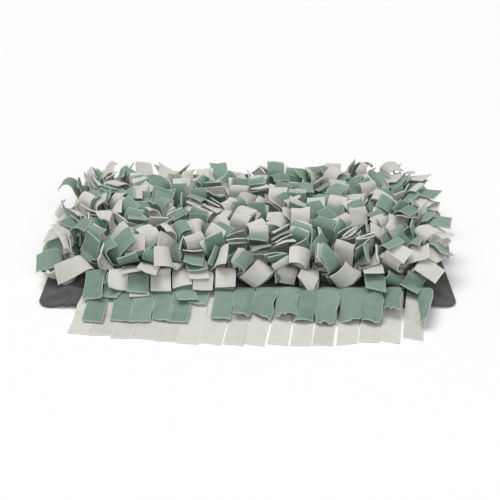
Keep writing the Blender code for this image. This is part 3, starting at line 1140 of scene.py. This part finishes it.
def settle_pile(layers):
    """Frames of both layers of every strip after the pile has settled."""
    points, faces, held, spans = [], [], [], []
    for key in sorted(layers):
        lying = key[0] == 0 and key[2] < 0
        for which in (0, 1):
            frames = layers[key][which]
            line = [*frames[:PART_AT], *smooth_line(frames[PART_AT:], SIM_ROWS_A_SECTION)]
            start = len(points)
            if not lying:
                spans.append((key, which, start, len(line)))
            for number, (point, tangent, across) in enumerate(line):
                for share in SIM_COLUMNS:
                    points.append(point + across * (share * STRIP_WIDTH / 2))
                    if lying or number < SIM_HELD_ROWS:
                        held.append(len(points) - 1)
            faces += grid_faces(start, len(line), len(SIM_COLUMNS))
    sheet = linked_mesh("settling", points, faces)
    sheet.vertex_groups.new(name="held").add(held, 1.0, "REPLACE")
    cloth = add_modifier(sheet, "CLOTH", "cloth")
    set_all(cloth.settings, quality=6, vertex_group_mass="held", **FLEECE_CLOTH)
    cloth.settings.effector_weights.gravity = SETTLE_GRAVITY
    set_all(cloth.collision_settings, **FLEECE_TOUCHING)
    set_all(cloth.point_cache, frame_start=1, frame_end=SETTLE_FRAMES)
    x, y, z = BASE_WIDTH / 2, BASE_DEPTH / 2, BASE_THICK + STOP_OVER_BASE
    stops = [
        add_collider("base stop", [(-x, -y, z), (x, -y, z), (x, y, z), (-x, y, z)]),
        add_collider("floor stop", [(-1, -1, 0), (1, -1, 0), (1, 1, 0), (-1, 1, 0)]),
    ]
    for frame_number in range(1, SETTLE_FRAMES + 1):
        bpy.context.scene.frame_set(frame_number)
    settled = sheet.evaluated_get(bpy.context.evaluated_depsgraph_get())
    places = [vertex.co.copy() for vertex in settled.data.vertices]
    result = {key: list(pair) for key, pair in layers.items()}
    most = 0.0
    for key, which, start, rows in spans:
        frames = []
        for number in range(rows):
            left, middle, right = places[start + number * 3 : start + number * 3 + 3]
            before = places[start + max(number - 1, 0) * 3 + 1]
            after = places[start + min(number + 1, rows - 1) * 3 + 1]
            tangent = (after - before).normalized()
            frames.append((middle, tangent, squared(right - left, tangent)))
            most = max(most, (middle - points[start + number * 3 + 1]).length)
        result[key][which] = frames
    for obj in [sheet, *stops]:
        bpy.data.objects.remove(obj)
    bpy.context.scene.frame_set(1)
    print("the pile settled; a strip moved at most", round(most * 1000, 1), "mm")
    return result


layers = settle_pile(layers)

# %% [markdown]
# ## From a line of frames to a fleece strip
#
# Each strip now becomes cloth. The front four rows were sewn on with the green layer on top, and
# the back four with the cream one, so that their green shows where they stand up.
#
# Points between two frames come from a smooth curve that leaves each frame in its own direction,
# and where the strip hardly turns some of them are left out again: a strip repeated hundreds of
# times should have only a few dozen faces. Across its width the cloth cups a little, its edges
# ripple, and its cut end is never quite square.
#
# Four numbers are kept on the mesh for the finish. Tone is one value for the whole strip, side
# runs from -1 to 1 across it, left is how much of its length is still to come, and gone how much
# lies behind. They let the finish draw the pale cut edges and the painted shade down at the seams,
# however few faces there are.

# %% Cloth strips
CLOTH_WIDTH = 0.0240
CLOTH_SMOOTH_ANGLE = 50.0
ACROSS = 3
ACROSS_CRUMPLED = 7
PER_SECTION = 2
MOST_TURN = math.radians(22.0)
MOST_TURN_FLAT = math.radians(12.0)
SHAPE_GROWTH = 1.6
CUP = 0.0013
CUP_MEAN = 0.4
RIPPLE = 0.0005
RIPPLE_PITCHES = (50.0, 90.0)
RIPPLE_SLANT = 2.2
CUT_SKEW = 0.0018
CUT_ROUGH = 0.0006
POINTED_SHARE = 0.16
POINTED_SKEW = 3.4
# A strip that narrows does so beyond this share of its length
TAPER_FROM = 0.62
ROUND_END = 0.30
CRUMPLE_PITCH = 0.013
CRUMPLE_LIFT = 0.4
EDGE_FINER = 1.7
CUT_CRUMPLE = 0.35
LOOK_SEED = 5
LENGTH_KEPT = (0.88, 1.0)
FIRST_CREAM_KEPT = 0.86
CREAM_ON_TOP_FROM = 4
# Back halves of the first row, counted from the left, whose layers are the other way round
FIRST_GREEN_ON_TOP = (0, 2)


def turning_rows(line, most_turn):
    """The numbers of the frames to keep, so that no step turns or twists much more than this."""
    kept = [0]
    for number in range(1, len(line) - 1):
        before, after = line[kept[-1]], line[number + 1]
        if max(before[1].angle(after[1]), before[2].angle(after[2])) > most_turn:
            kept.append(number)
    return kept + [len(line) - 1]


class Cloth:
    """Gathers the strips of one piece: points, faces, and the numbers kept for the finish."""

    def __init__(self):
        self.points, self.faces, self.uvs = [], [], []
        self.marks = {"tone": [], "side": [], "left": [], "gone": []}

    def add_strip(
        self, chance, frames, shape, width=CLOTH_WIDTH, keep=1.0, taper=0.0, crumple=0.0, flat=False
    ):
        """Add one layer of a strip.

        shape holds its cup and the phase and pitch of its ripples, keep the share of its length
        that isn't cut off, taper how much its free end narrows and crumple how high its crumples
        are. A flat strip is one of the front row's, which lie open from their seam on.
        """
        across = ACROSS_CRUMPLED if crumple else ACROSS
        line = smooth_line(frames, PER_SECTION)
        line = line[: max(4, round(len(line) * keep))]
        reach = [0.0]
        for before, after in zip(line, line[1:]):
            reach.append(reach[-1] + (after[0] - before[0]).length)
        most_turn = MOST_TURN_FLAT if flat else MOST_TURN
        rows = turning_rows(line, 0.0 if crumple else most_turn)
        cup, wave, waves = shape
        skew = chance.uniform(-CUT_SKEW, CUT_SKEW)
        if chance.random() < POINTED_SHARE:
            skew *= POINTED_SKEW
        tone = chance.random()
        place_u, place_v = chance.random(), chance.random()
        start = len(self.points)
        for number in rows:
            point, tangent, sideways = line[number]
            along = reach[number]
            free = min(1.0, along / reach[-1] * SHAPE_GROWTH)
            narrow = max(0.0, (along / reach[-1] - TAPER_FROM) / (1 - TAPER_FROM))
            half_width = width / 2 * (1 - taper * narrow**2)
            normal = tangent.cross(sideways)
            for column in range(across):
                share = column / (across - 1) * 2 - 1
                ripple = RIPPLE * math.sin(wave + waves * along + RIPPLE_SLANT * share)
                place = point + sideways * (share * half_width)
                lift = free * (cup * (share**2 - CUP_MEAN) + ripple)
                if crumple:
                    lift += free * crumple * (noise.noise(place / CRUMPLE_PITCH) + CRUMPLE_LIFT)
                    wander = noise.noise(place / CRUMPLE_PITCH * EDGE_FINER)
                    place += sideways * (crumple * share * wander)
                place += normal * lift
                if number == rows[-1]:
                    rough = CUT_ROUGH + crumple * CUT_CRUMPLE
                    place += tangent * (skew * share + chance.uniform(-1, 1) * rough)
                    place += tangent * taper * width * ROUND_END * (1 - share**2)
                place.z = max(place.z, LAYER_THICK / 2 + HAIR)
                self.points.append(place)
                self.uvs.append((place_u + share * width / 2, place_v + along))
                self.marks["tone"].append(tone)
                self.marks["side"].append(share)
                self.marks["left"].append(reach[-1] - along)
                # gone also places the painted seam shade; the open front strips are kept clear of it.
                self.marks["gone"].append(along + 1.0 * flat)
        self.faces += grid_faces(start, len(rows), across)

    def piece(self, name, material):
        """The strips as one object, with the cloth's thickness."""
        obj = linked_mesh(name, self.points, self.faces)
        mesh = obj.data
        layer = mesh.uv_layers.new(name="cloth")
        for loop in mesh.loops:
            layer.data[loop.index].uv = self.uvs[loop.vertex_index]
        for label, values in self.marks.items():
            mesh.attributes.new(label, "FLOAT", "POINT").data.foreach_set("value", values)
        mesh.materials.append(material)
        add_modifier(obj, "SOLIDIFY", "fleece thickness", thickness=LAYER_THICK, offset=0.0)
        finish_shape(obj, CLOTH_SMOOTH_ANGLE)
        return obj


# %% Every row: a green piece and a cream piece
look = random.Random(LOOK_SEED)
for row in range(ROWS):
    upper, lower = Cloth(), Cloth()
    for index in range(strips_in(row)):
        for side in (-1, 1):
            green_frames, cream_frames = layers[(row, index, side)]
            if row >= CREAM_ON_TOP_FROM or (row == 0 and side > 0 and index in FIRST_GREEN_ON_TOP):
                green_frames, cream_frames = cream_frames, green_frames
            shape = (look.uniform(-CUP, CUP), look.uniform(0, math.tau), look.uniform(*RIPPLE_PITCHES))
            if row == 0 and side < 0:
                cup, taper, crumple, wide = (FRONT_GREENS[index][at] for at in (3, 6, 7, 8))
                upper.add_strip(
                    look, green_frames, (cup, *shape[1:]), wide, taper=taper, crumple=crumple, flat=True
                )
                wide = FRONT_CREAM_WIDTHS[index >= FRONT_GAPS_FROM]
                lower.add_strip(look, cream_frames, (FRONT_CREAM_CUP, *shape[1:]), wide, flat=True)
                continue
            green_keep, cream_keep = look.uniform(*LENGTH_KEPT), look.uniform(*LENGTH_KEPT)
            if row == 0 and index in FIRST_ROW_FORWARD:
                green_keep, cream_keep = 1.0, FIRST_CREAM_KEPT
            upper.add_strip(look, green_frames, shape, keep=green_keep)
            lower.add_strip(look, cream_frames, shape, keep=cream_keep)
    for cloth, name, material, slot in (
        (upper, f"row_{row + 1}_green", GREEN, "fleece_green"),
        (lower, f"row_{row + 1}_cream", CREAM, "fleece_cream"),
    ):
        piece = cloth.piece(name, material)
        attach(piece, "root")
        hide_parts(f"strip_row_{row + 1}")

# %% [markdown]
# ## Floor, light and camera
#
# The mat is shown as in a catalogue: on a pale floor, in broad soft light from above and in
# front, seen from the front at about 27 degrees above the floor, through a long lens.

# %% Floor
only(base)
bpy.ops.mesh.primitive_plane_add(size=60.0, location=(0, 0, -0.0002))
floor = bpy.context.object
floor.name = "floor"
floor_finish = Finish("pale floor", Roughness=0.9, Base_Color=colour(0.97, 0.97, 0.97))
floor.data.materials.append(floor_finish.material)


# %% Light
def soft_light(name, place, angle, strength):
    """A broad, even light from the direction of a place, as from a large softbox."""
    data = bpy.data.lights.new(name, "SUN")
    data.angle = math.radians(angle)
    data.energy = strength
    aim(linked(name, data), place)


TOP_LIGHT = (-0.5, 0.3, 1.9)
TOP_STRENGTH = 1.80
FRONT_LIGHT = (0.5, -1.8, 1.3)
FRONT_STRENGTH = 0.95
WORLD_STRENGTH = 0.31
soft_light("top light", TOP_LIGHT, 42.0, TOP_STRENGTH)
soft_light("front light", FRONT_LIGHT, 40.0, FRONT_STRENGTH)
world = bpy.data.worlds.new("studio")
world.use_nodes = True
background = world.node_tree.nodes["Background"].inputs
background["Color"].default_value = colour(1.0, 1.0, 1.0)
background["Strength"].default_value = WORLD_STRENGTH
bpy.context.scene.world = world
bpy.context.scene.view_settings.view_transform = "Standard"

# %% Camera
IMAGE_SIZE = 500
FOCAL_PIXELS = 1035.0
ELEVATION = 26.7
DISTANCE = 1.3676
LOOK_AT = Vector((0.003, -0.016, 0.0))

camera_data = bpy.data.cameras.new("camera")
camera_data.sensor_width = 36.0
camera_data.lens = FOCAL_PIXELS / IMAGE_SIZE * camera_data.sensor_width
camera = linked("camera", camera_data)
tilt = math.radians(ELEVATION)
aim(camera, LOOK_AT + Vector((0, -math.cos(tilt), math.sin(tilt))) * DISTANCE, LOOK_AT)
bpy.context.scene.camera = camera
print("the camera is", round(camera.location.length, 3), "m from the middle of the mat")
